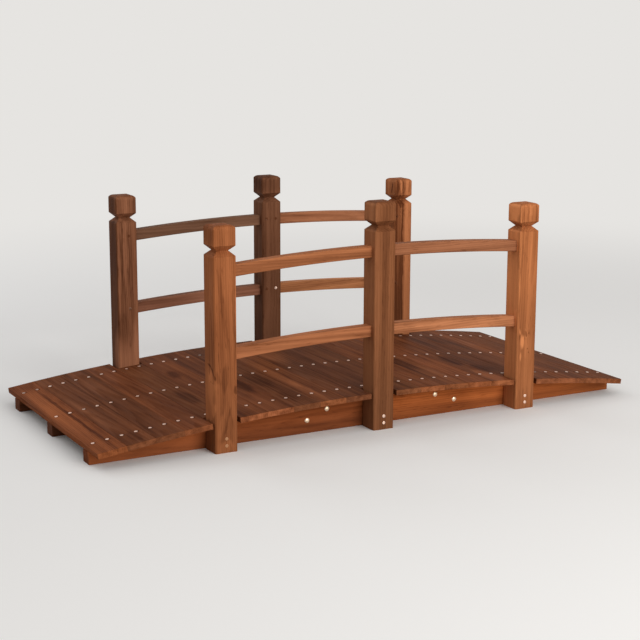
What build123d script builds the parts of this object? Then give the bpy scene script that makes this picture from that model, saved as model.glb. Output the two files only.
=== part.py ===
from build123d import *
from math import cos, sin
import os

# Wooden garden footbridge. An arched deck of slats is screwed down on three flat-bottomed
# bearers, with three capped posts and two curved rails along each side.
# Millimetres. X runs along the bridge, Y across it from the front side to the back, Z up.
# The origin is the middle of the footprint, on the level that the feet stand on.

# Deck: flat slats laid square across an arc that is highest in the middle
deck_height = 95.0          # top of the middle slat above the ground
deck_radius = 5150.0        # arc that the slat tops follow
deck_width = 670.0          # length of a full slat
slat_count = 21
slat_width = 70.4
slat_gap = 0.4              # open joint between two slats
slat_thickness = 13.0
slat_round = 0.7            # rounding of the upper edges
post_clearance = 1.0        # between the end of a short slat and the post beside it

# Bearers: two half lengths that meet behind the middle post, with a splice board inside
bearer_thickness = 38.0
bearer_edge = 1.5           # chamfer along the lower edges
splice_length = 520.0
splice_depth = 56.0
splice_thickness = 20.0
splice_lift = 8.0           # lower edge of the splice board above the ground

# Posts: square, with a V groove sawn across all four faces below the cap
post_slats = (5, 11, 17)    # the slats that the posts stand beside, counted from the left
post_size = 57.5
post_inset = 1.0            # from the slats' ends in to the posts' outer faces
post_round = 5.0            # rounding up the four corners
end_post_height = 533.0
middle_post_height = 562.5
cap_height = 46.0           # from the groove's upper lip to the flat top
cap_round = 12.0            # rounding over the top of the cap
groove_depth = 14.0
groove_height = 26.0        # from lip to lip on the post's faces
lip_round = 1.5             # worn edges of the groove

# Rails: cut to an arc and butted between the posts
rail_radius = 4700.0        # upper edge of every rail
rail_depth = 28.0
rail_thickness = 28.0
rail_edge = 1.5             # chamfer along the four long edges
top_rail_height = 456.0     # upper edge of the top rail at the middle of the bridge
middle_rail_height = 261.0

# Values that follow from the ones above
slat_pitch = slat_width + slat_gap
arc_center = deck_height - deck_radius
bearer_radius = deck_radius - slat_thickness
bearer_height = deck_height - slat_thickness
post_line = deck_width / 2 - post_inset - post_size / 2
bearer_face = deck_width / 2 - post_inset - post_size
bearer_line = bearer_face - bearer_thickness / 2
splice_reach = bearer_thickness / 2 + splice_thickness / 2


def slat_plane(number):
    """Plane of a slat's top face, touching the arc, with its x along the bridge."""
    turn = (number - (slat_count + 1) / 2) * slat_pitch / deck_radius
    return Plane(
        origin=(deck_radius * sin(turn), 0, arc_center + deck_radius * cos(turn)),
        x_dir=(cos(turn), 0, -sin(turn)),
        z_dir=(sin(turn), 0, cos(turn)),
    )


end_plane = slat_plane(slat_count)
deck_end = end_plane.origin.X + slat_width / 2 * end_plane.x_dir.X
post_places = [slat_plane(number).origin.X for number in post_slats]


def slat_part(number):
    """One slat. Those beside a post stop short of it, the others reach the posts' outer faces."""
    short = number in post_slats
    slat_length = 2 * (bearer_face - post_clearance) if short else deck_width
    top = slat_plane(number)
    with BuildPart() as slat:
        with BuildSketch(top):
            Rectangle(slat_width, slat_length)
        extrude(amount=-slat_thickness)
        upper_face = slat.faces().sort_by(Axis(top.origin, top.z_dir))[-1]
        fillet(upper_face.edges(), radius=slat_round)
    return slat.part


def bearer_part(across, toward):
    """Half a bearer: the part of a great disc that lies above the ground, to one side."""
    with BuildPart() as bearer:
        with BuildSketch(Plane.XZ.offset(-across)):
            with Locations((0, arc_center)):
                Circle(bearer_radius)
            with Locations((toward * deck_end / 2, bearer_height / 2)):
                Rectangle(deck_end, bearer_height, mode=Mode.INTERSECT)
        extrude(amount=bearer_thickness / 2, both=True)
        foot_edges = bearer.edges().group_by(Axis.Z)[0].filter_by(Axis.X)
        chamfer(foot_edges, length=bearer_edge)
    return bearer.part


def splice_part(across):
    """A board that laps the joint of a bearer on its inner face."""
    with BuildPart() as splice:
        with BuildSketch(Plane((0, across, splice_lift))):
            Rectangle(splice_length, splice_thickness)
        extrude(amount=splice_depth)
    return splice.part


def post_part(foot, height):
    """A round-cornered stick, cut to the same outline seen from the front and from the side."""
    half = post_size / 2
    upper_lip = height - cap_height
    lower_lip = upper_lip - groove_height
    front_view = Plane(foot, x_dir=(1, 0, 0), z_dir=(0, -1, 0))
    side_view = Plane(foot, x_dir=(0, 1, 0), z_dir=(1, 0, 0))
    with BuildPart() as post:
        with BuildSketch(Plane(foot)) as section:
            Rectangle(post_size, post_size)
            fillet(section.vertices(), radius=post_round)
        extrude(amount=height)
        for view in (front_view, side_view):
            with BuildSketch(view) as outline:
                with BuildLine():
                    Polyline(
                        (0, 0),
                        (half, 0),
                        (half, lower_lip),
                        (half - groove_depth, lower_lip + groove_height / 2),
                        (half, upper_lip),
                        (half, height),
                        (0, height),
                        close=True,
                    )
                make_face()
                mirror(about=Plane.YZ)
                fillet(outline.vertices().group_by(Axis.Y)[-1], radius=cap_round)
                levels = outline.vertices().group_by(Axis.Y)
                fillet(levels[1] + levels[3], radius=lip_round)
            extrude(amount=post_size, both=True, mode=Mode.INTERSECT)
    return post.part


def rail_part(across, height, start, stop):
    """A rail: a piece of a great ring, cut off square between two posts."""
    with BuildPart() as rail:
        with BuildSketch(Plane.XZ.offset(-across)):
            with Locations((0, height - rail_radius)):
                Circle(rail_radius)
                Circle(rail_radius - rail_depth, mode=Mode.SUBTRACT)
            with Locations(((start + stop) / 2, height)):
                Rectangle(stop - start, rail_radius, mode=Mode.INTERSECT)
        extrude(amount=rail_thickness / 2, both=True)
        chamfer(rail.edges().filter_by(GeomType.CIRCLE), length=rail_edge)
    return rail.part


def save(part, name):
    """Label a finished piece and write it to its own file."""
    part.label = name
    export_step(part, f"parts/{name}.step")


os.makedirs("parts", exist_ok=True)

# Deck
for number in range(1, slat_count + 1):
    save(slat_part(number), f"slat_{number:02d}")

# Bearers, with their splice boards on the inner faces
bearer_places = {
    "front": (-bearer_line, splice_reach - bearer_line),
    "centre": (0, splice_reach),
    "back": (bearer_line, bearer_line - splice_reach),
}
for row, (across, splice_across) in bearer_places.items():
    save(bearer_part(across, -1), f"bearer_{row}_left")
    save(bearer_part(across, 1), f"bearer_{row}_right")
    save(splice_part(splice_across), f"splice_board_{row}")

# Railings, one along each side
post_heights = (end_post_height, middle_post_height, end_post_height)
rail_heights = {"top": top_rail_height, "middle": middle_rail_height}
bays = {
    "left": (post_places[0] + post_size / 2, post_places[1] - post_size / 2),
    "right": (post_places[1] + post_size / 2, post_places[2] - post_size / 2),
}
for row, across in (("front", -post_line), ("back", post_line)):
    for place, along, height in zip(("left", "middle", "right"), post_places, post_heights):
        save(post_part((along, across, 0), height), f"post_{row}_{place}")
    for level, height in rail_heights.items():
        for bay, (start, stop) in bays.items():
            save(rail_part(across, height, start, stop), f"rail_{row}_{level}_{bay}")
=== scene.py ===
import math
import random

import bmesh
import bpy
from mathutils import Euler, Matrix, Vector


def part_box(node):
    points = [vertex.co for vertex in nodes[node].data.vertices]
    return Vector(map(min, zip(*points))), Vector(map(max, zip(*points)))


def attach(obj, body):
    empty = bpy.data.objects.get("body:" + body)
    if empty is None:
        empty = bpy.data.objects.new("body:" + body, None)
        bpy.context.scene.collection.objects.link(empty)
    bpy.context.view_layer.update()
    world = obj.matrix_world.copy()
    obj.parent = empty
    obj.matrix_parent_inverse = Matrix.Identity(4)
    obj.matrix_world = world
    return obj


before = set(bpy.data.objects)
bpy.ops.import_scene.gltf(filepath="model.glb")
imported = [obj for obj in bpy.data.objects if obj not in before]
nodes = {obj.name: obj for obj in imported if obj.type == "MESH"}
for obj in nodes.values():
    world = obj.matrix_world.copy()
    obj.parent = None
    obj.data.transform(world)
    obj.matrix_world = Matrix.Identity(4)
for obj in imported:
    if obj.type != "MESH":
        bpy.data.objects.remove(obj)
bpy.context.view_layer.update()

print("frame loaded with", len(nodes), "wooden parts")


# Small helpers

def linearColor(hexCode):
    # sRGB hex to the linear values that a shader takes
    parts = [int(hexCode[i:i + 2], 16) / 255 for i in (1, 3, 5)]
    return [((c + 0.055) / 1.055) ** 2.4 if c > 0.04045 else c / 12.92 for c in parts] + [1.0]


def scaledColor(color, factors):
    return [channel * factor for channel, factor in zip(color, factors)] + [1.0]


def addNode(tree, kind, inputs, **settings):
    # one shader node with its inputs, each a value or what another node gives out, and its settings
    node = tree.nodes.new("ShaderNode" + kind)
    for name, value in settings.items():
        setattr(node, name, value)
    for place, value in inputs.items() if isinstance(inputs, dict) else enumerate(inputs):
        if isinstance(value, bpy.types.Node):
            value = value.outputs[0]
        if isinstance(value, bpy.types.NodeSocket):
            tree.links.new(value, node.inputs[place])
        else:
            node.inputs[place].default_value = value
    return node


def clearSelection():
    bpy.ops.object.select_all(action="DESELECT")


def pickFaces(piece, test):
    # in edit mode: selects only the faces whose middle and normal pass the test
    bpy.ops.mesh.select_mode(type="FACE")
    bpy.ops.mesh.select_all(action="DESELECT")
    mesh = bmesh.from_edit_mesh(piece.data)
    for face in mesh.faces:
        face.select_set(test(face.calc_center_median(), face.normal))
    bmesh.update_edit_mesh(piece.data)


def pickPoints(piece, test):
    # in edit mode: selects only the points whose place passes the test
    bpy.ops.mesh.select_mode(type="VERT")
    bpy.ops.mesh.select_all(action="DESELECT")
    mesh = bmesh.from_edit_mesh(piece.data)
    for point in mesh.verts:
        point.select_set(test(point.co))
    mesh.select_flush_mode()
    bmesh.update_edit_mesh(piece.data)


def looksUp(middle, normal):
    # a test for pickFaces
    return normal.z > 0.9


def joinPieces(pieces, name):
    clearSelection()
    for piece in pieces:
        piece.select_set(True)
    bpy.context.view_layer.objects.active = pieces[0]
    if len(pieces) > 1:
        bpy.ops.object.join()
    joined = bpy.context.object
    joined.name = name
    joined.data.name = name
    return joined


def placedCopy(pattern, name, matrix):
    # a copy with its own mesh, moved within the mesh so that the object stays at the origin
    copy = pattern.copy()
    copy.data = pattern.data.copy()
    copy.data.transform(matrix)
    copy.name = name
    bpy.context.scene.collection.objects.link(copy)
    return copy


# Camera: a long lens from the front left, a little above the rails
cameraSet = {
    "place": (-1.8361, -3.3923, 1.0212),        # metres
    "turn": (78.1642, -0.1702, -28.4170),       # degrees
    "lens": 84.557,             # millimetres, as the sensor
    "sensor": 36,
    "farEnd": 200,              # metres, beyond the floor's far edge
}
cameraData = bpy.data.cameras.new("bridgeCamera")
cameraData.lens = cameraSet["lens"]
cameraData.sensor_width = cameraSet["sensor"]
cameraData.clip_end = cameraSet["farEnd"]
camera = bpy.data.objects.new("bridgeCamera", cameraData)
camera.location = cameraSet["place"]
camera.rotation_euler = [math.radians(angle) for angle in cameraSet["turn"]]
bpy.context.scene.collection.objects.link(camera)
bpy.context.scene.camera = camera
bpy.context.scene.view_settings.view_transform = "Standard"
print("camera set")


# Studio: pale floor that runs into an equally pale background, one low key lamp from the front, soft sky
studioSet = {
    "floorRadius": 60.0,
    "floorSides": 128,
    "floorColor": "#f3f8fd",    # as the camera sees it
    "bounceColor": "#b4b0aa",   # what it throws back on to the wood
    "backColor": "#e6e4e1",
    "fadeStart": 1.4,           # metres from the bridge, where the floor starts to turn into background
    "fadeEnd": 3.8,
    "skyColor": "#fff7ef",
    "skyStrength": 0.6,
    "lampAim": (0, 0, 0.25),
    "lamps": {                  # sizes in metres, power in watts
        "keyLamp": {"place": (0.9, -4.4, 1.55), "size": 2.6, "power": 120.0, "color": "#fff8ef"},
        "backLamp": {"place": (-1.5, 3.6, 2.8), "size": 2.4, "power": 25.0, "color": "#ffffff"},
    },
}


def seenDirectly(tree):
    # 1 where the camera sees a surface, straight, in a gloss or through glass, and 0 for its soft light
    rays = addNode(tree, "LightPath", []).outputs
    direct = addNode(tree, "Math", [rays["Is Camera Ray"], rays["Is Glossy Ray"]], operation="MAXIMUM")
    return addNode(tree, "Math", [direct, rays["Is Transmission Ray"]], operation="MAXIMUM")


def addSky(setting):
    # a soft sky for the light, and the plain background for the eye
    world = bpy.data.worlds.new("studioSky")
    bpy.context.scene.world = world
    world.use_nodes = True
    tree = world.node_tree
    tree.nodes.clear()
    sky = addNode(tree, "Background", {
        "Color": linearColor(setting["skyColor"]), "Strength": setting["skyStrength"]})
    back = addNode(tree, "Background", {"Color": linearColor(setting["backColor"]), "Strength": 1.0})
    mixed = addNode(tree, "MixShader", [seenDirectly(tree), sky, back])
    addNode(tree, "OutputWorld", [mixed])


def paleFloor(setting):
    # matt paint that keeps the shadows near the bridge and glows as the background does far from it
    material = bpy.data.materials.new("paleStudioFloor")
    material.use_nodes = True
    tree = material.node_tree
    tree.nodes.clear()
    seen = seenDirectly(tree)
    place = addNode(tree, "TexCoord", []).outputs["Object"]
    far = addNode(tree, "VectorMath", [place], operation="LENGTH").outputs["Value"]
    fade = addNode(tree, "MapRange", [far, setting["fadeStart"], setting["fadeEnd"]],
                   interpolation_type="SMOOTHSTEP")
    share = addNode(tree, "Math", [seen, fade], operation="MULTIPLY")
    paint = addNode(tree, "Mix", {
        0: seen, 6: linearColor(setting["bounceColor"]), 7: linearColor(setting["floorColor"])},
        data_type="RGBA")
    near = addNode(tree, "BsdfDiffuse", {"Color": paint.outputs[2]})
    glow = addNode(tree, "Emission", {"Color": linearColor(setting["backColor"]), "Strength": 1.0})
    mixed = addNode(tree, "MixShader", [share, near, glow])
    addNode(tree, "OutputMaterial", [mixed])
    return material


def addFloor(setting):
    clearSelection()
    bpy.ops.mesh.primitive_circle_add(
        vertices=setting["floorSides"], radius=setting["floorRadius"], fill_type="NGON",
        location=(0, 0, 0))
    floor = bpy.context.object
    floor.name = "studioFloor"
    floor.data.materials.append(paleFloor(setting))


def addLamps(setting):
    for name, lamp in setting["lamps"].items():
        data = bpy.data.lights.new(name, "AREA")
        data.shape = "SQUARE"
        data.size = lamp["size"]
        data.energy = lamp["power"]
        data.color = linearColor(lamp["color"])[:3]
        light = bpy.data.objects.new(name, data)
        light.location = lamp["place"]
        aim = Vector(setting["lampAim"]) - light.location
        light.rotation_euler = aim.to_track_quat("-Z", "Y").to_euler()
        bpy.context.scene.collection.objects.link(light)


addSky(studioSet)
addFloor(studioSet)
addLamps(studioSet)
print("studio lit")


# Stained fir. Softwood with pale rings and dark ones, under a thin red-brown stain:
# broad bands where the wood drank more or less, fine fibres, short dark pores. Sizes in millimetres.
firLook = {
    "ringGap": 5.0,             # one year's growth
    "ringWander": 12.0,         # how far the rings stray along a board
    "ringDepth": 0.13,
    "ringRise": (0.2, 0.86),    # from spring wood to the dark line, as shares of a year
    "ringDrop": (0.9, 1.0),     # and back
    "heartTilt": 1.6,           # degrees between the board and the heart of its log
    "heartReach": (35, 95),     # the heart lies this far off the board
    "heartAlong": 4000,
    "streakWidth": 13.0,        # bands that took more or less stain
    "streakLength": 520.0,
    "streakDepth": 1.15,
    "fibreWidth": 1.4,          # finer in real fir, drawn as coarse as it needs to show
    "fibreLength": 60.0,
    "fibreDepth": 0.16,
    "poreWidth": 1.9,           # short dark lines where the grain is open
    "poreLength": 34.0,
    "poreDepth": 0.26,
    "poreEdges": (0.62, 0.72),
    "blotchSize": 75.0,         # uneven uptake of the stain
    "blotchStretch": 3.2,
    "blotchDepth": 0.55,
    "noiseRoughness": 0.55,     # how much the finer detail of all these counts
    "warpReach": (10, 10, 45),  # how uneven the outlines of knots and patches are
    "knotStretch": 0.55,        # knots are longer along the grain than across it
    "knotSwell": 2.6,           # how far a knot pushes the rings out, in its own sizes
    "knotReach": 3.4,
    "knotEdge": (0.8, 1.2),
    "knotDepth": 0.36,
    "markCore": 0.45,           # the share of a patch's reach over which it is full
    "darkShade": (0.36, 0.30, 0.27),    # the tint times this, at the darkest
    "lightShade": (1.62, 1.72, 1.80),   # and at the palest
    "bareShade": (1.96, 2.10, 2.20),
    "bareLevel": 1.25,          # the shade that is almost bare wood, where 0.5 is the tint and 1 pale
    "endShade": (0.80, 0.76, 0.74),     # end grain drinks more stain and looks darker
    "endEdges": (0.55, 0.95),   # how squarely a face cuts the grain before it counts as end grain
    "wornShade": (1.30, 1.34, 1.40),
    "wornShare": 0.20,
    "wornBend": (0.80, 0.985),  # how sharp an edge is, from rubbed to untouched
    "wornPatches": (0.35, 0.65),
    "wornLeast": 0.2,           # some stretches of an edge keep most of their stain
    "edgeRadius": 1.8,          # how far in from an edge the stain is rubbed thin
    # a dark ring round each screw head, partly crushed fibres and partly painted shade
    "screwRingShade": (0.22, 0.16, 0.14),
    "screwRingReach": (0.5, 0.95),    # in screw sizes
    "screwRingShare": 0.75,
    "roughness": 0.58,
    "ringRoughness": 0.10,      # the dark lines are denser and the patches with more stain smoother
    "blotchRoughness": 0.2,
    "ior": 1.5,
    "gloss": 0.03,              # a thin stain that has dried into the wood shines little
    "bumpHeight": 0.30,
    "bumpStrength": 0.6,
    "fibreRelief": 0.6,
    "ringRelief": -0.5,
    "poreRelief": -0.6,
}
grainTurns = {"x": (0, -90, 0), "y": (90, 0, 0), "z": (0, 0, 0)}
grainAxes = {"x": (1, 0, 0), "y": (0, 1, 0), "z": (0, 0, 1)}
grainSeeds = {"stick": 40, "slat": 100, "bearer": 200}     # with a board's number added, its own pattern


def distanceFrom(tree, place, middle, scale):
    # how far a place lies from a middle, with each direction scaled
    away = addNode(tree, "VectorMath", [place, middle], operation="SUBTRACT")
    away = addNode(tree, "VectorMath", [away, scale], operation="MULTIPLY")
    return addNode(tree, "VectorMath", [away], operation="LENGTH").outputs["Value"]


def boardPlace(tree, grain, middle, slope):
    # millimetres from the board's own middle, with z along the grain; slope turns it with a tilted slat
    turn = Euler([math.radians(angle) for angle in grainTurns[grain]]).to_matrix()
    turn = Matrix.Rotation(slope, 3, "Z") @ turn
    return addNode(tree, "Mapping", {
        "Vector": addNode(tree, "TexCoord", []).outputs["Object"], "Scale": (1000, 1000, 1000),
        "Rotation": turn.to_euler(), "Location": turn @ (Vector(middle) * -1000)})


def logPlace(tree, board, chance, look):
    # the log's heart lies off the board and a little askew, so rings run out in long arches
    tilt = look["heartTilt"]
    askew = (math.radians(chance.uniform(-tilt, tilt)), math.radians(chance.uniform(-tilt, tilt)), 0)
    side = chance.uniform(0, 2 * math.pi)
    reach = chance.uniform(*look["heartReach"])
    along = chance.uniform(-look["heartAlong"], look["heartAlong"])
    heart = (reach * math.cos(side), reach * math.sin(side), along)
    return addNode(tree, "Mapping", {"Vector": board, "Rotation": askew, "Location": heart})


def grainNoise(tree, log, look):
    # what varies in the wood, drawn out along the grain: width, length, detail and a start of its own
    variations = {
        "outline": (16.0, 60.0, 2.0, 5.3),
        "wander": (60.0, 420.0, 2.0, 1.7),
        "streak": (look["streakWidth"], look["streakLength"], 3.0, 11.3),
        "fibre": (look["fibreWidth"], look["fibreLength"], 2.0, 23.9),
        "blotch": (look["blotchSize"], look["blotchSize"] * look["blotchStretch"], 2.0, 37.1),
        "pore": (look["poreWidth"], look["poreLength"], 1.0, 51.7),
    }
    vary = {}
    for kind, (width, length, detail, start) in variations.items():
        spread = addNode(tree, "Mapping", {
            "Vector": log, "Scale": (1 / width, 1 / width, 1 / length),
            "Location": (start, 2 * start, 3 * start)})
        vary[kind] = addNode(tree, "TexNoise", {
            "Vector": spread, "Scale": 1.0, "Detail": detail, "Roughness": look["noiseRoughness"]})
    return vary


def yearRings(tree, log, warped, vary, knots, look):
    # one pale band and one dark line a year, swollen round the knots; the knots' cores come with them
    depth = distanceFrom(tree, log, (0, 0, 0), (1, 1, 0))
    depth = addNode(tree, "Math", [vary["wander"], look["ringWander"], depth], operation="MULTIPLY_ADD")
    cores = []
    for knot in knots:
        squeeze = [1 / knot["size"], 1 / knot["size"], look["knotStretch"] / knot["size"]]
        squeeze["xyz".index(knot["through"])] = 0.0
        away = distanceFrom(tree, warped, knot["at"], squeeze)
        height = knot["size"] * look["knotSwell"]
        swell = addNode(tree, "MapRange", [away, 0.0, look["knotReach"], height, 0.0],
                        interpolation_type="SMOOTHSTEP")
        depth = addNode(tree, "Math", [depth, swell], operation="ADD")
        cores.append(addNode(tree, "MapRange", [away, *look["knotEdge"], 1.0, 0.0],
                             interpolation_type="SMOOTHSTEP"))
    phase = addNode(tree, "Math", [depth, look["ringGap"]], operation="DIVIDE")
    phase = addNode(tree, "Math", [phase], operation="FRACT")
    rise = addNode(tree, "MapRange", [phase, *look["ringRise"]], interpolation_type="SMOOTHSTEP")
    drop = addNode(tree, "MapRange", [phase, *look["ringDrop"], 1.0, 0.0],
                   interpolation_type="SMOOTHSTEP")
    return addNode(tree, "Math", [rise, drop], operation="MULTIPLY"), cores


def stainColor(tree, base, layers, patches, look):
    # shade runs from 0, the darkest streak, over 0.5, the tint itself, and 1, pale, to almost bare
    # the noises are 0.5 on average and the rings 0.4, and this start makes the tint the average shade
    shade = 0.5 - 0.5 * (look["streakDepth"] + look["fibreDepth"] + look["blotchDepth"])
    shade += 0.4 * look["ringDepth"]
    for layer, amount in layers:
        shade = addNode(tree, "Math", [layer, amount, shade], operation="MULTIPLY_ADD")
    for patch in patches:
        shade = addNode(tree, "Math", [shade, patch], operation="ADD")
    share = addNode(tree, "Math", [shade, 1 / look["bareLevel"]], operation="MULTIPLY")
    ramp = addNode(tree, "ValToRGB", [share])
    stops = ramp.color_ramp.elements
    stops[0].color = scaledColor(base, look["darkShade"])
    stops[1].color = scaledColor(base, look["bareShade"])
    stops.new(0.5 / look["bareLevel"]).color = base
    stops.new(1.0 / look["bareLevel"]).color = scaledColor(base, look["lightShade"])
    return ramp


def patchesAndShading(tree, board, warped, marks, look):
    # patches and bands of this board, some of them painted light and shade, full in the middle and fading
    # out; a clean one is sharp
    patches = []
    for mark in marks:
        away = addNode(tree, "Mapping", {
            "Vector": board if mark.get("clean") else warped, "Location": mark["at"],
            "Rotation": [math.radians(angle) for angle in mark.get("turn", (0, 0, 0))],
            "Scale": mark["reach"]}, vector_type="TEXTURE")
        away = addNode(tree, "VectorMath", [away], operation="LENGTH").outputs["Value"]
        patches.append(addNode(tree, "MapRange", [away, look["markCore"], 1.0, mark["shade"], 0.0],
                               interpolation_type="SMOOTHSTEP"))
    return patches


def endGrain(tree, grain, normal, look):
    # 1 on the faces that cut across the grain, where the stain sinks in
    facing = addNode(tree, "VectorMath", [normal, grainAxes[grain]], operation="DOT_PRODUCT")
    facing = addNode(tree, "Math", [facing.outputs["Value"]], operation="ABSOLUTE")
    return addNode(tree, "MapRange", [facing, *look["endEdges"]], interpolation_type="SMOOTHSTEP")


def rubbedEdges(tree, normal, vary, look):
    # along the edges, more in some places than in others, where rubbed stain shows the paler wood
    soft = addNode(tree, "Bevel", {"Radius": look["edgeRadius"] / 1000}, samples=6)
    edge = addNode(tree, "VectorMath", [soft, normal], operation="DOT_PRODUCT").outputs["Value"]
    edge = addNode(tree, "MapRange", [edge, *look["wornBend"], look["wornShare"], 0.0],
                   interpolation_type="SMOOTHSTEP")
    rubbed = addNode(tree, "MapRange", [vary["blotch"], *look["wornPatches"], look["wornLeast"], 1.0],
                     interpolation_type="SMOOTHSTEP")
    return addNode(tree, "Math", [edge, rubbed], operation="MULTIPLY")


def screwRingAndShade(tree, board, screw, look):
    # a dark ring round each screw, partly crushed fibres and partly painted shade of the dimple it sits in
    x, z, size = screw
    away = distanceFrom(tree, board, (x, 0, z), (1, 0, 1))
    start, stop = (size * share for share in look["screwRingReach"])
    return addNode(tree, "MapRange", [away, start, stop, look["screwRingShare"], 0.0],
                   interpolation_type="SMOOTHSTEP")


def darkerTowardsFoot(tree, vary, foot):
    # darker towards the bottom, up to an uneven height
    place = addNode(tree, "TexCoord", []).outputs["Object"]
    height = addNode(tree, "SeparateXYZ", [place]).outputs["Z"]
    ragged = -foot["ragged"] / 1000
    height = addNode(tree, "Math", [vary["blotch"], ragged, height], operation="MULTIPLY_ADD")
    start, stop = foot["start"] / 1000, foot["height"] / 1000
    return addNode(tree, "MapRange", [height, start, stop, foot["strength"], 0.0],
                   interpolation_type="SMOOTHSTEP")


def stainedFir(name, grain, middle, tint, seed, look,
               slope=0.0, marks=(), knots=(), screws=(), foot=None):
    # wood whose grain runs along one axis, centred on its own board
    material = bpy.data.materials.new(name)
    material.use_nodes = True
    tree = material.node_tree
    shader = tree.nodes["Principled BSDF"]
    base = linearColor(tint)
    board = boardPlace(tree, grain, middle, slope)
    log = logPlace(tree, board, random.Random(seed), look)
    vary = grainNoise(tree, log, look)
    push = vary["outline"].outputs["Color"]
    push = addNode(tree, "VectorMath", [push, (0.5, 0.5, 0.5)], operation="SUBTRACT")
    warped = addNode(tree, "VectorMath", [push, look["warpReach"], board], operation="MULTIPLY_ADD")
    ring, cores = yearRings(tree, log, warped, vary, knots, look)
    pore = addNode(tree, "MapRange", [vary["pore"], *look["poreEdges"]], interpolation_type="SMOOTHSTEP")

    # what darkens or lightens the stain, and by how much
    layers = [
        (vary["streak"], look["streakDepth"]), (ring, -look["ringDepth"]),
        (vary["fibre"], look["fibreDepth"]), (pore, -look["poreDepth"]),
        (vary["blotch"], look["blotchDepth"])]
    layers += [(core, -look["knotDepth"]) for core in cores]
    color = stainColor(tree, base, layers, patchesAndShading(tree, board, warped, marks, look), look)

    # what lies over the stain: its share, its colour and how it mixes
    normal = addNode(tree, "NewGeometry", []).outputs["Normal"]
    covers = [
        (endGrain(tree, grain, normal, look), scaledColor(look["endShade"], (1, 1, 1)), "MULTIPLY"),
        (rubbedEdges(tree, normal, vary, look), scaledColor(base, look["wornShade"]), "MIX")]
    covers += [(screwRingAndShade(tree, board, screw, look), scaledColor(base, look["screwRingShade"]), "MIX")
               for screw in screws]
    if foot:
        covers.append((darkerTowardsFoot(tree, vary, foot), linearColor(foot["color"]), "MIX"))
    for share, over, way in covers:
        color = addNode(tree, "Mix", {0: share, 6: color, 7: over}, data_type="RGBA", blend_type=way)
        color = color.outputs[2]
    tree.links.new(color, shader.inputs["Base Color"])

    rough = look["roughness"] - 0.5 * look["blotchRoughness"]
    for layer, amount in ((ring, look["ringRoughness"]), (vary["blotch"], look["blotchRoughness"])):
        rough = addNode(tree, "Math", [layer, amount, rough], operation="MULTIPLY_ADD")
    tree.links.new(rough.outputs[0], shader.inputs["Roughness"])
    shader.inputs["IOR"].default_value = look["ior"]
    shader.inputs["Specular IOR Level"].default_value = look["gloss"]
    relief = 0.0
    for layer, amount in (
            (vary["fibre"], look["fibreRelief"]), (ring, look["ringRelief"]), (pore, look["poreRelief"])):
        relief = addNode(tree, "Math", [layer, amount, relief], operation="MULTIPLY_ADD")
    bump = addNode(tree, "Bump", {
        "Height": relief, "Strength": look["bumpStrength"], "Distance": look["bumpHeight"] / 1000})
    tree.links.new(bump.outputs[0], shader.inputs["Normal"])
    return material


def dress(name, material):
    data = nodes[name].data
    data.materials.clear()
    data.materials.append(material)


def middleOf(name):
    low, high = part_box(name)
    return (low + high) / 2


# Posts and rails: one stick each, each in its own tint, partly its own stain and partly painted light and
# shade: the back left ones darker, the right ones paler
stickTintsAndShading = {
    "post_front_left": "#9c5f3b",
    "post_front_middle": "#835336",
    "post_front_right": "#b06e45",
    "post_back_left": "#83563e",
    "post_back_middle": "#744d38",
    "post_back_right": "#9e6340",
    "rail_front_top_left": "#9d6341",
    "rail_front_top_right": "#996447",
    "rail_front_middle_left": "#aa6d4a",
    "rail_front_middle_right": "#b37652",
    "rail_back_top_left": "#70503e",
    "rail_back_middle_left": "#7e5441",
    "rail_back_top_right": "#a26b4c",
    "rail_back_middle_right": "#b47952",
}
postFoot = {"start": -10, "height": 330, "ragged": 120, "strength": 0.36, "color": "#4a3022"}
lighterFeet = {"post_back_left": 0.14}    # a post that darkens less towards its foot
# knots: millimetres from the middle of the stick, the way they run through it, and their radius
stickKnots = {
    "post_front_left": [{"at": (25, -28, -118), "through": "y", "size": 5}],
    "post_front_right": [
        {"at": (-3, -28, -65), "through": "y", "size": 3.6},
        {"at": (7, -28, -61), "through": "y", "size": 2.2},
    ],
    "post_back_right": [{"at": (-8, 28, 200), "through": "y", "size": 8}],
}
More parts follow.
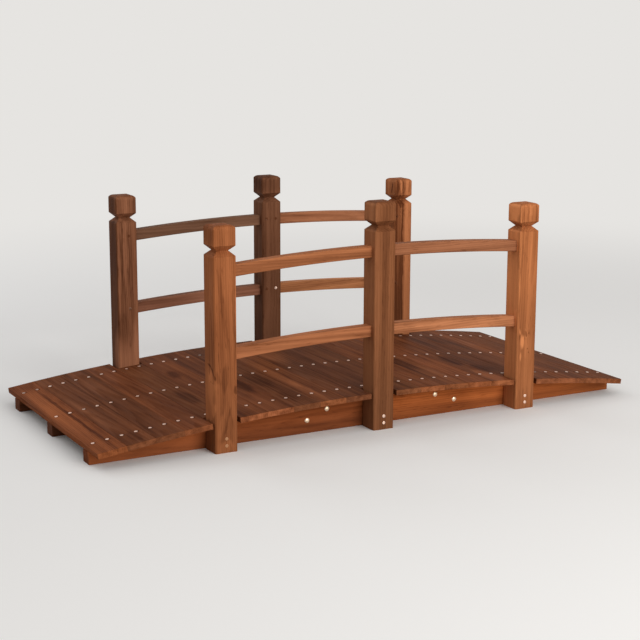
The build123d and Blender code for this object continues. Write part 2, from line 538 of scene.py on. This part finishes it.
# patches and bands, in millimetres from the middle of the stick: right, back and up on a post, and down,
# back and right on a rail;
# most are the wood's own, but the broad ones over a left side (x -28) or a cap's left side are painted
# light and shade
stickFigureAndShading = {
    "post_front_left": [
        {"at": (-28, -8, -112), "reach": (9, 24, 60), "shade": 0.36},
        {"at": (-28, -14, -113), "reach": (13, 14, 17), "shade": 0.70},
        {"at": (-28, -3, -82), "reach": (13, 12, 15), "shade": 0.62},
        {"at": (-28, -20, -164), "reach": (12, 11, 26), "shade": 0.56},
        {"at": (-28, 1, -59), "reach": (5, 13, 4.4), "turn": (6, 0, 0), "clean": True, "shade": -0.42},
        {"at": (-28, -9, -64), "reach": (5, 13, 4.4), "turn": (30, 0, 0), "clean": True, "shade": -0.42},
        {"at": (-28, -18, -73), "reach": (5, 13, 4.4), "turn": (48, 0, 0), "clean": True, "shade": -0.42},
        {"at": (-28, -26, -85), "reach": (5, 12, 4.4), "turn": (60, 0, 0), "clean": True, "shade": -0.42},
        {"at": (-22, -28, -92), "reach": (9, 8, 20), "shade": -0.20},
        {"at": (-28, -8, -98), "reach": (5, 15, 2.4), "turn": (10, 0, 0), "clean": True, "shade": -0.45},
        {"at": (-28, 0, -197), "reach": (6, 24, 5), "shade": -0.36},
        # painted light and shade on the left side: paler low down, darker on the cap
        {"at": (-28, 0, -140), "reach": (9, 40, 120), "shade": 0.42},
        {"at": (-28, 0, 250), "reach": (8, 40, 32), "shade": -0.14},
        {"at": (-5, -28, 68), "reach": (7, 9, 145), "turn": (0, -8, 0), "shade": -0.17},
        {"at": (-17, -28, 20), "reach": (13, 10, 120), "shade": -0.10},
        {"at": (21, -28, 40), "reach": (4, 8, 170), "shade": -0.12},
        {"at": (-2, -28, -84), "reach": (10, 10, 48), "turn": (0, 6, 0), "shade": -0.26},
        {"at": (14, -28, -150), "reach": (9, 10, 60), "turn": (0, -8, 0), "shade": 0.16},
        {"at": (3, -28, -190), "reach": (5, 8, 46), "turn": (0, 16, 0), "shade": -0.24},
        {"at": (-12, -28, -195), "reach": (7, 9, 60), "turn": (0, 12, 0), "shade": 0.22},
        {"at": (-2, -28, -252), "reach": (28, 10, 22), "shade": 0.30},
        # a pale line down the right corner, partly rubbed stain and partly a painted highlight
        {"at": (28, -28, 0), "reach": (4, 8, 330), "shade": 0.30},
    ],
    "post_front_middle": [
        {"at": (-19, -28, 0), "reach": (14, 12, 520), "shade": 0.13},
        {"at": (4, -28, 100), "reach": (5, 9, 150), "shade": -0.10},
        {"at": (16, -28, 0), "reach": (12, 11, 300), "shade": 0.07},
        # painted light on the left side, paler low down and paler still on the cap
        {"at": (-28, 0, 0), "reach": (6, 50, 620), "shade": 0.32},
        {"at": (-28, 0, -150), "reach": (9, 40, 130), "shade": 0.10},
        {"at": (-28, 0, 258), "reach": (9, 40, 34), "shade": 0.28},
        {"at": (0, -28, 258), "reach": (40, 14, 34), "shade": -0.04},
    ],
    "post_front_right": [
        {"at": (-14, -28, -90), "reach": (7, 6, 24), "shade": 0.85},
        {"at": (-20, -28, -63), "reach": (4, 6, 8), "shade": 0.60},
        {"at": (-17, -28, -126), "reach": (3, 6, 18), "shade": 0.60},
        {"at": (3, -28, -113), "reach": (2, 4, 3), "shade": -0.5},
        {"at": (6, -28, -124), "reach": (2, 4, 3), "shade": -0.5},
        # painted light over the whole left side
        {"at": (-28, 0, 0), "reach": (6, 50, 620), "shade": 0.52},
        {"at": (0, -28, -160), "reach": (40, 12, 120), "shade": 0.14},
        {"at": (0, 0, 262), "reach": (60, 60, 38), "shade": 0.14},
        {"at": (-20, -28, 240), "reach": (3, 12, 30), "shade": -0.20},
        {"at": (-8, -28, 243), "reach": (2, 12, 30), "shade": -0.16},
        {"at": (-2, -28, 240), "reach": (3, 12, 30), "shade": 0.22},
        {"at": (6, -28, 240), "reach": (2.5, 12, 32), "shade": -0.18},
        {"at": (20, -28, 240), "reach": (3, 12, 30), "shade": -0.18},
        # painted light on the cap's left side
        {"at": (-28, 2, 248), "reach": (9, 32, 32), "shade": 0.36},
        {"at": (-28, 12, 245), "reach": (8, 3, 28), "shade": -0.16},
        {"at": (-28, -12, 245), "reach": (8, 3, 28), "shade": -0.14},
    ],
    "post_back_left": [
        # painted shade over the whole left side
        {"at": (-28, 0, 0), "reach": (5, 50, 620), "shade": -0.36},
        {"at": (-28, -16, -185), "reach": (10, 24, 120), "shade": 0.60},
        {"at": (-22, -28, 90), "reach": (5, 10, 200), "shade": 0.26},
        {"at": (-14, -28, 130), "reach": (3, 8, 140), "shade": -0.26},
        {"at": (-6, -28, 130), "reach": (7, 10, 140), "shade": 0.32},
        {"at": (5, -28, 120), "reach": (3, 8, 120), "shade": -0.28},
        {"at": (-14, -28, -96), "reach": (17, 10, 70), "shade": -0.15},
        {"at": (20, -28, -160), "reach": (15, 12, 110), "shade": 0.44},
        {"at": (-14, -28, -210), "reach": (32, 12, 125), "shade": 0.46},
        {"at": (14, -28, 30), "reach": (15, 12, 170), "shade": -0.14},
        {"at": (3, -28, -132), "reach": (3, 8, 14), "shade": -0.30},
        {"at": (-6, -28, 245), "reach": (12, 12, 34), "shade": 0.14},
        {"at": (22, -28, 245), "reach": (7, 12, 34), "shade": -0.22},
    ],
    "post_back_middle": [
        # painted shade on the left side, darkest low down
        {"at": (-28, 0, -110), "reach": (5, 50, 280), "shade": -0.32},
        {"at": (-28, 0, -190), "reach": (9, 50, 110), "shade": -0.14},
        {"at": (0, -28, -150), "reach": (40, 12, 130), "shade": 0.20},
        {"at": (0, 0, 262), "reach": (60, 60, 38), "shade": -0.18},
        # painted shade on the cap's left side
        {"at": (-28, 0, 262), "reach": (9, 60, 38), "shade": -0.14},
    ],
    "post_back_right": [
        # the front face darker on its left half, past a dark line, and paler on its right half
        {"at": (-17, -28, -30), "reach": (14, 12, 560), "shade": -0.36},
        {"at": (-2.5, -28, -30), "reach": (3.5, 10, 560), "shade": -0.52},
        {"at": (15, -28, -30), "reach": (17, 12, 560), "shade": 0.47},
        {"at": (15, -28, -170), "reach": (17, 12, 120), "shade": 0.12},
        {"at": (0, 0, 262), "reach": (60, 60, 38), "shade": 0.12},
        {"at": (-19, -28, 245), "reach": (4, 12, 30), "shade": -0.42},
        {"at": (-10, -28, 245), "reach": (3.5, 12, 30), "shade": 0.60},
        {"at": (4, -28, 245), "reach": (3, 12, 30), "shade": -0.26},
        {"at": (19, -28, 245), "reach": (3, 12, 30), "shade": -0.30},
        {"at": (-28, -12, 241), "reach": (10, 3.6, 21), "turn": (16, 0, 0), "clean": True, "shade": -0.62},
        {"at": (-28, 12, 245), "reach": (10, 9, 26), "shade": 0.10},
    ],
    "rail_front_middle_right": [
        {"at": (0, -14, -165), "reach": (40, 12, 70), "shade": -0.16},
        {"at": (0, -14, 20), "reach": (40, 12, 120), "shade": 0.12},
    ],
    "rail_back_top_left": [{"at": (0, -14, 150), "reach": (40, 12, 130), "shade": 0.30}],
    "rail_back_middle_left": [
        {"at": (0, -14, 90), "reach": (40, 12, 150), "shade": 0.36},
        {"at": (0, -14, -10), "reach": (40, 12, 90), "shade": 0.14},
    ],
    "rail_back_top_right": [{"at": (0, -14, 160), "reach": (40, 12, 110), "shade": -0.14}],
    "rail_back_middle_right": [{"at": (0, -14, 160), "reach": (40, 12, 110), "shade": -0.20}],
}
# boards that took the stain more evenly than the others
stickLooks = {
    "post_back_middle": {"streakDepth": 0.75},
    "post_front_left": {"streakDepth": 0.80},
    "post_front_middle": {"streakDepth": 0.80},
    "post_front_right": {"streakDepth": 1.0, "wornShare": 0.10},
}
for number, (name, tint) in enumerate(stickTintsAndShading.items()):
    isPost = name.startswith("post")
    foot = dict(postFoot, strength=lighterFeet.get(name, postFoot["strength"])) if isPost else None
    dress(name, stainedFir(
        "stainedFir_" + name, "z" if isPost else "x", middleOf(name), tint,
        grainSeeds["stick"] + number, dict(firLook, **stickLooks.get(name, {})),
        marks=stickFigureAndShading.get(name, ()), knots=stickKnots.get(name, ()), foot=foot))

# Deck: 21 slats, dark red-brown, the left end one paler, partly as painted sunlight
deckSet = {
    "height": 95.0,             # top of the middle slat above the floor, in millimetres
    "radius": 5150.0,
    "pitch": 70.8,
    "count": 21,
    "screwRows": (-255.5, 0.0, 255.5),
    "screwOffset": 17.7,        # either way from a slat's middle
    "screwSize": 8.0,
    "patchDown": -6,            # from the middle of a slat to its top face
    "patchDepth": 12,
    "darkTint": "#553322",
    "lightTint": "#8d4f2e",
    # each slat's share of the light tint, the first one's partly painted sunlight, and how pale its ends
    # are
    "tones": (0.84, 0.36, 0.38, 0.57, 0.34, 0.44, 0.46, 0.29, 0.52, 0.25, 0.22,
              0.27, 0.53, 0.52, 0.67, 0.53, 0.30, 0.40, 0.46, 0.35, 0.36),
    "endTones": (0.73, 0.80, 0.72, 0.77, 1.0, 1.16, 1.26, 0.76, 0.98, 0.84, 1.0,
                 0.97, 1.0, 0.82, 0.86, 0.87, 1.0, 1.02, 0.98, 0.94, 1.0),
}
# bands and patches on some slats, slat 1's partly painted sunlight: place across and along from the
# middle, reach across and along, shade
slatFigureAndLight = {
    # slat 1: a pale band and a dark band along it, partly the wood and partly painted sunlight with its
    # shadow edge
    1: [(-14, 20, 24, 420, 0.12), (11, 0, 7, 420, -0.42), (28, 0, 17, 420, -0.34),
        (0, 320, 50, 90, -0.2)],
    2: [(-22, 0, 15, 330, 0.12), (4, -285, 22, 48, -0.22)],
    3: [(0, 160, 32, 110, 0.1)],
    4: [(0, 210, 40, 150, 0.12)],
    5: [(6, -95, 26, 90, -0.34), (0, 210, 40, 150, 0.14)],
    6: [(-14, 115, 21, 52, -0.46), (10, 210, 26, 90, 0.12), (8, -240, 26, 120, 0.12)],
    7: [(12, -70, 30, 125, -0.5), (-10, -270, 30, 90, 0.14)],
    8: [(0, -60, 36, 110, -0.24), (-10, -255, 24, 70, -0.26)],
    9: [(-12, -40, 16, 460, 0.36), (-11, -160, 8, 45, 0.22), (-4, -250, 6, 75, 0.22),
        (6, -60, 4, 420, -0.24)],
    10: [(8, -100, 30, 130, -0.14), (0, 190, 40, 170, 0.6)],
    11: [(-10, 90, 28, 110, -0.14), (10, -110, 30, 110, -0.14)],
    12: [(0, 200, 40, 170, -0.14)],
    13: [(6, -250, 34, 120, 0.16), (0, 210, 40, 150, -0.1)],
    14: [(-6, -70, 36, 120, -0.28), (-22, -60, 6, 330, -0.22), (16, -250, 14, 110, 0.2)],
    15: [(12, 0, 5, 340, -0.34), (-14, -120, 14, 200, 0.14)],
    16: [(2, -90, 28, 80, -0.4), (30, -190, 22, 60, -0.3), (-4, -290, 34, 110, 0.44)],
    17: [(-20, -190, 24, 60, -0.2), (0, 150, 34, 90, -0.1)],
    18: [(-10, 180, 26, 90, -0.14)],
    19: [(-6, 0, 20, 360, 0.22), (30, 0, 6, 360, -0.2)],
}


def slatAngle(number):
    return (number - (deckSet["count"] + 1) / 2) * deckSet["pitch"] / deckSet["radius"]


def slatMatrix(number):
    # the slat's top face: x along the bridge, z up from the face
    angle = slatAngle(number)
    radius = deckSet["radius"] / 1000
    middle = deckSet["height"] / 1000 - radius
    place = Vector((radius * math.sin(angle), 0, middle + radius * math.cos(angle)))
    return Matrix.Translation(place) @ Matrix.Rotation(angle, 4, "Y")


def mixedHex(first, second, share):
    parts = [(int(first[i:i + 2], 16), int(second[i:i + 2], 16)) for i in (1, 3, 5)]
    return "#" + "".join(f"{round(a + (b - a) * share):02x}" for a, b in parts)


def slatPatchesAndLight(number):
    # all of them on the top face
    down, depth = deckSet["patchDown"], deckSet["patchDepth"]
    return [{"at": (across, down, along), "reach": (width, depth, length), "shade": shade}
            for across, along, width, length, shade in slatFigureAndLight.get(number, ())]


# the deck drank the stain in broader, deeper bands than the sticks, and its cut ends stayed paler
slatLook = dict(
    firLook, ringDepth=0.10, streakLength=620.0, streakDepth=1.25, blotchSize=85.0, blotchDepth=0.80,
    fibreDepth=0.24, endShade=(1.70, 1.80, 1.88), wornShare=0.15, gloss=0.02)
for number in range(1, deckSet["count"] + 1):
    name = f"slat_{number:02d}"
    spots = [(side * deckSet["screwOffset"], row, deckSet["screwSize"])
             for side in (-1, 1) for row in deckSet["screwRows"]]
    tint = mixedHex(deckSet["darkTint"], deckSet["lightTint"], deckSet["tones"][number - 1])
    endShade = [part * deckSet["endTones"][number - 1] for part in slatLook["endShade"]]
    dress(name, stainedFir(
        "stainedFir_" + name, "y", middleOf(name), tint, grainSeeds["slat"] + number,
        dict(slatLook, endShade=endShade), slope=slatAngle(number), marks=slatPatchesAndLight(number),
        screws=spots))

# Bearers and the boards that splice them
# the front bearers are paler than the hidden ones, partly their stain and partly painted light where the
# slats' overhang shades them
bearerTintsAndLight = {
    "bearer_front_left": "#8e4d2a",
    "bearer_front_right": "#b06132",
    "bearer_centre_left": "#744630",
    "bearer_centre_right": "#7c4a31",
    "bearer_back_left": "#7a482f",
    "bearer_back_right": "#82492e",
    "splice_board_front": "#7d4c33",
    "splice_board_centre": "#744630",
    "splice_board_back": "#7a482f",
}
# painted light on the front bearers, where the slats' overhang and the posts shade them: down, back and
# right of the middle of each half
bearerPaintedLight = {
    "bearer_front_left": [
        {"at": (0, -19, -250), "reach": (80, 14, 320), "shade": 0.60},
        {"at": (0, -19, -330), "reach": (80, 14, 90), "shade": 0.40},
        {"at": (0, -19, -110), "reach": (80, 14, 60), "shade": 0.24},
    ],
    "bearer_front_right": [
        {"at": (0, -19, -10), "reach": (80, 14, 100), "shade": 0.24},
        {"at": (0, -19, 200), "reach": (80, 14, 260), "shade": 0.34},
    ],
}
bearerFoot = {"start": -10, "height": 45, "ragged": 30, "strength": 0.5, "color": "#4b2c20"}
for number, (name, tint) in enumerate(bearerTintsAndLight.items()):
    dress(name, stainedFir(
        "stainedFir_" + name, "x", middleOf(name), tint, grainSeeds["bearer"] + number, firLook,
        marks=bearerPaintedLight.get(name, ()), foot=bearerFoot))
print("wood stained")


# Zinc: a dull grey-white plating, brighter where it is rubbed, with brown weathering in places
zincLook = {
    "color": "#f5d9c9",
    "stainColor": "#4c2e1f",
    "patchSize": 90.0,          # how far apart the stained heads lie, in millimetres
    "patchEdges": (0.62, 0.74),
    "patchDrop": 0.4,           # how far the edges come down as more heads are stained
    "cover": 0.94,              # how much of the zinc the stain hides
    "specksPerMetre": 900.0,    # duller and brighter spots about a millimetre wide
    "speckEdges": (0.3, 0.7),
    "speckShades": (0.75, 1.15),
    "metallic": 0.75,           # the plating has dulled
    "roughness": 0.38,
    "speckRoughness": (0.12, -0.06),
    "gloss": 0.2,
}


def weatheredZinc(name, look, stained):
    # stained: share of the heads that the wood stain was brushed over
    material = bpy.data.materials.new(name)
    material.use_nodes = True
    tree = material.node_tree
    shader = tree.nodes["Principled BSDF"]
    place = addNode(tree, "TexCoord", []).outputs["Object"]
    patch = addNode(tree, "TexNoise", {
        "Vector": place, "Scale": 1000 / look["patchSize"], "Detail": 1.0})
    start, stop = (edge - look["patchDrop"] * stained for edge in look["patchEdges"])
    cover = addNode(tree, "MapRange", [patch, start, stop, 0.0, look["cover"]],
                    interpolation_type="SMOOTHSTEP")
    speck = addNode(tree, "TexNoise", {"Vector": place, "Scale": look["specksPerMetre"], "Detail": 2.0})
    bare = addNode(tree, "MapRange", [speck, *look["speckEdges"], *look["speckShades"]])
    metal = addNode(tree, "VectorMath", {0: linearColor(look["color"])[:3], "Scale": bare},
                    operation="SCALE")
    color = addNode(tree, "Mix", {0: cover, 6: metal, 7: linearColor(look["stainColor"])},
                    data_type="RGBA")
    tree.links.new(color.outputs[2], shader.inputs["Base Color"])
    shine = addNode(tree, "MapRange", [cover, 0.0, look["cover"], look["metallic"], 0.0])
    tree.links.new(shine.outputs[0], shader.inputs["Metallic"])
    shader.inputs["Specular IOR Level"].default_value = look["gloss"]
    dull, bright = (look["roughness"] + change for change in look["speckRoughness"])
    rough = addNode(tree, "MapRange", [speck, *look["speckEdges"], dull, bright])
    tree.links.new(rough.outputs[0], shader.inputs["Roughness"])
    return material


# Screws: pan heads with a cross recess, pulled down into the wood
screwSet = {
    "size": 8.0,                # across the head, in millimetres
    "proud": 0.7,
    "sunk": 0.8,
    "rimWidth": 0.6,
    "crownRise": 0.25,          # above the rim
    "crossReach": 2.3,
    "crossWaist": 0.366,        # its inner corners, as a share of its reach
    "crossDepth": 0.7,
    "sides": 12,
    "turn": 15,                 # degrees, so that four corners lie on the diagonals
    "seed": 7,                  # for how far each head is turned
}


def makeScrewHead(setting):
    # stands on z = 0 and points up; one face ring for the rim, one for the crown, then the cross
    clearSelection()
    radius = setting["size"] / 2000
    bpy.ops.mesh.primitive_cylinder_add(
        vertices=setting["sides"], radius=radius, depth=(setting["proud"] + setting["sunk"]) / 1000,
        location=(0, 0, (setting["proud"] - setting["sunk"]) / 2000),
        rotation=(0, 0, math.radians(setting["turn"])))
    head = bpy.context.object
    bpy.ops.object.transform_apply(location=True, rotation=True, scale=True)
    bpy.ops.object.mode_set(mode="EDIT")
    pickFaces(head, lambda middle, normal: looksUp(middle, -normal))
    bpy.ops.mesh.delete(type="FACE")
    pickFaces(head, looksUp)
    bpy.ops.mesh.inset(thickness=setting["rimWidth"] / 1000, depth=0)
    bpy.ops.transform.translate(value=(0, 0, setting["crownRise"] / 1000))
    crownWidth = setting["size"] / 2 - setting["rimWidth"] - setting["crossReach"]
    bpy.ops.mesh.inset(thickness=crownWidth / 1000, depth=0)

    # the points of the innermost ring that lie on the diagonals become the cross's inner corners
    near = setting["crossReach"] * 1.1 / 1000      # a little beyond that ring
    slack = 0.0002              # metres
    pickPoints(head, lambda point: point.xy.length < near and abs(abs(point.x) - abs(point.y)) < slack)
    waist = setting["crossWaist"]
    bpy.ops.transform.resize(value=(waist, waist, 1), center_override=(0, 0, 0))
    pickFaces(head, lambda middle, normal: looksUp(middle, normal) and middle.xy.length < slack / 2)
    down = -setting["crossDepth"] / 1000
    bpy.ops.mesh.extrude_region_move(TRANSFORM_OT_translate={"value": (0, 0, down)})
    bpy.ops.object.mode_set(mode="OBJECT")
    return head


def facingMatrix(place, direction, spin=0.0):
    # turns a pattern that points up so that it points along direction, at a place in millimetres
    turn = Vector(direction).to_track_quat("Z", "Y").to_matrix().to_4x4()
    return Matrix.Translation(Vector(place) / 1000) @ turn @ Matrix.Rotation(spin, 4, "Z")


def setFixings(pattern, name, spots):
    # one piece of the scene from many copies of a pattern, each at its matrix and in its finish
    copies = []
    for number, (matrix, finish) in enumerate(spots):
        copy = placedCopy(pattern, f"{name}_{number}", matrix)
        copy.data.materials.clear()
        copy.data.materials.append(finish)
        copies.append(copy)
    piece = joinPieces(copies, name)
    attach(piece, "root")


# heads that the wood stain ran over, heads brushed over thinly, and the bolts' yellower plating
stainedLook = dict(zincLook, cover=1.0, stainColor="#6a4029", gloss=0.05)
brushedLook = dict(zincLook, stainColor="#b5835c")
boltLook = dict(zincLook, color="#ffe4c6", roughness=0.3)
zincPlated = weatheredZinc("zincPlatedScrew", zincLook, stained=0.15)
zincClean = weatheredZinc("zincPlatedFootScrew", zincLook, stained=0.0)
zincStained = weatheredZinc("zincScrewUnderStain", stainedLook, stained=0.9)
zincBrushed = weatheredZinc("zincScrewBrushedOver", brushedLook, stained=0.9)
zincBolt = weatheredZinc("zincPlatedBolt", boltLook, stained=0.0)
chance = random.Random(screwSet["seed"])
screwHead = makeScrewHead(screwSet)
for number in range(1, deckSet["count"] + 1):
    spots = []
    for row in deckSet["screwRows"]:
        for side in (-1, 1):
            shift = Matrix.Translation((side * deckSet["screwOffset"] / 1000, row / 1000, 0))
            spin = Matrix.Rotation(chance.uniform(0, math.pi), 4, "Z")
            spots.append((slatMatrix(number) @ shift @ spin, zincPlated))
    setFixings(screwHead, f"screws_slat_{number:02d}", spots)
print("deck screwed down")

# Post screws: two up each foot into the bearer, and pairs driven at a slant into the rail ends
postSet = {
    "footLevels": (34.0, 17.0),
    "railDepth": 28.0,
    "railRadius": 4700.0,
    "railHeights": {"top": 456.0, "middle": 261.0},
    # the side of the post that each screw's rail is on, and how far along from the post's middle
    "toePlaces": {"left": [(1, 5.0)], "middle": [(-1, -15.0), (1, 11.5)], "right": [(-1, -20.0)]},
    "toeLift": 4.5,             # above the rail's middle
    "toeSlant": 0.35,           # along the bridge, for each step across it
    "spin": 3.0,                # radians that a head may be turned by
    "brushedFeet": [("front", "left")],
    # rail screws without stain: side of the bridge, post, rail, side of the post
    "bareToes": [("back", "middle", "middle", 1), ("front", "middle", "top", -1)],
}


def railMiddle(level, along):
    # height of a rail's middle line, in millimetres
    radius = postSet["railRadius"] - postSet["railDepth"] / 2
    return postSet["railHeights"][level] - postSet["railRadius"] + math.sqrt(radius ** 2 - along ** 2)


for row, outward in (("front", -1), ("back", 1)):
    for place, toes in postSet["toePlaces"].items():
        low, high = (corner * 1000 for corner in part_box(f"post_{row}_{place}"))
        along = (low.x + high.x) / 2
        outerFace, innerFace = (low.y, high.y) if outward < 0 else (high.y, low.y)
        finish = zincBrushed if (row, place) in postSet["brushedFeet"] else zincClean
        spots = []
        for level in postSet["footLevels"]:
            spin = chance.uniform(0, postSet["spin"])
            spots.append((facingMatrix((along, outerFace, level), (0, outward, 0), spin), finish))
        setFixings(screwHead, f"foot_screws_{row}_{place}", spots)
        spots = []
        for level in ("top", "middle"):
            height = railMiddle(level, along) + postSet["toeLift"]
            for side, offset in toes:
                finish = zincPlated if (row, place, level, side) in postSet["bareToes"] else zincStained
                lean = (-side * postSet["toeSlant"], -outward, 0)
                spin = chance.uniform(0, postSet["spin"])
                spots.append((facingMatrix((along + offset, innerFace, height), lean, spin), finish))
        setFixings(screwHead, f"rail_screws_{row}_{place}", spots)
print("posts screwed")

# Coach bolts: domed heads outside, washers and nuts on the splice boards. Millimetres.
boltSet = {
    "headSize": 13.5,
    "headHeight": 3.3,
    "headSides": 24,
    "headRings": 12,            # of a whole ball
    "domeCut": 0.2,             # the share of a ball's radius that the dome lacks below
    "rimHeight": 0.6,           # of the straight rim below the dome
    "rimSunk": 0.4,             # and how far it goes on into the wood
    "smoothAngle": 40,          # degrees
    # washer, nut (10 across its flats) and bolt: sides, width over the corners, height and chamfer
    "nutEnd": ((32, 14.0, 1.2, 0.2), (6, 20 / 1.732, 5.0, 0.5), (16, 6.0, 3.5, 0.7)),
    "nutSunk": 0.2,             # how far the washer goes into the wood
    "chamferRise": 0.6,         # height of a chamfer, as a share of its width
    "overlap": 0.1,             # how far the next part starts inside it, likewise
    "spots": ((-183.0, 32.7), (-128.0, 55.5), (185.4, 53.5), (243.0, 34.0)),
    "towards": {"front": 1, "centre": 1, "back": -1},   # from the heads to the nuts
    "spin": 3.0,                # radians that a nut may be turned by
}


def makeBoltHead(setting):
    # a squeezed ball, cut off below and given a short straight rim
    clearSelection()
    radius = setting["headSize"] / 2000
    bpy.ops.mesh.primitive_uv_sphere_add(
        segments=setting["headSides"], ring_count=setting["headRings"], radius=radius,
        location=(0, 0, 0))
    head = bpy.context.object
    bpy.ops.object.mode_set(mode="EDIT")
    bpy.ops.mesh.select_all(action="SELECT")
    cut = radius * setting["domeCut"]
    bpy.ops.mesh.bisect(plane_co=(0, 0, cut), plane_no=(0, 0, 1), clear_inner=True, clear_outer=False)
    bpy.ops.mesh.select_all(action="SELECT")
    bpy.ops.transform.translate(value=(0, 0, -cut))
    squeeze = (setting["headHeight"] - setting["rimHeight"]) / 1000 / (radius - cut)
    bpy.ops.transform.resize(value=(1, 1, squeeze), center_override=(0, 0, 0))
    bpy.ops.transform.translate(value=(0, 0, setting["rimHeight"] / 1000))
    mesh = bmesh.from_edit_mesh(head.data)
    for edge in mesh.edges:
        edge.select_set(edge.is_boundary)
    bmesh.update_edit_mesh(head.data)
    rim = (setting["rimHeight"] + setting["rimSunk"]) / 1000
    bpy.ops.mesh.extrude_region_move(TRANSFORM_OT_translate={"value": (0, 0, -rim)})
    bpy.ops.mesh.select_all(action="SELECT")
    bpy.ops.mesh.normals_make_consistent(inside=False)
    bpy.ops.object.mode_set(mode="OBJECT")
    bpy.ops.object.shade_smooth_by_angle(angle=math.radians(setting["smoothAngle"]))
    return head


def makeNutEnd(setting):
    # washer, hexagon nut and the bolt's end, standing on z = 0
    parts = []
    level = -setting["nutSunk"] / 1000
    for sides, width, height, chamfer in setting["nutEnd"]:
        clearSelection()
        bpy.ops.mesh.primitive_cylinder_add(
            vertices=sides, radius=width / 2000, depth=height / 1000,
            location=(0, 0, level + height / 2000))
        part = bpy.context.object
        bpy.ops.object.transform_apply(location=True, rotation=True, scale=True)
        bpy.ops.object.mode_set(mode="EDIT")
        pickFaces(part, looksUp)
        bpy.ops.mesh.inset(thickness=chamfer / 1000, depth=0)
        bpy.ops.transform.translate(value=(0, 0, chamfer * setting["chamferRise"] / 1000))
        bpy.ops.object.mode_set(mode="OBJECT")
        parts.append(part)
        level += (height + chamfer * (setting["chamferRise"] - setting["overlap"])) / 1000
    return joinPieces(parts, "nutEnd")


boltHead = makeBoltHead(boltSet)
nutEnd = makeNutEnd(boltSet)
for row, toward in boltSet["towards"].items():
    bearerLow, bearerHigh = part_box(f"bearer_{row}_left")
    boardLow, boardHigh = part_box(f"splice_board_{row}")
    headFace, nutFace = (bearerLow.y, boardHigh.y) if toward > 0 else (bearerHigh.y, boardLow.y)
    headSpots = []
    nutSpots = []
    for x, z in boltSet["spots"]:
        spin = chance.uniform(0, boltSet["spin"])
        headSpots.append((facingMatrix((x, headFace * 1000, z), (0, -toward, 0)), zincBolt))
        nutSpots.append((facingMatrix((x, nutFace * 1000, z), (0, toward, 0), spin), zincBolt))
    setFixings(boltHead, f"bolt_heads_{row}", headSpots)
    setFixings(nutEnd, f"bolt_nuts_{row}", nutSpots)
for pattern in (screwHead, boltHead, nutEnd):
    bpy.data.objects.remove(pattern)
print("bearers bolted")
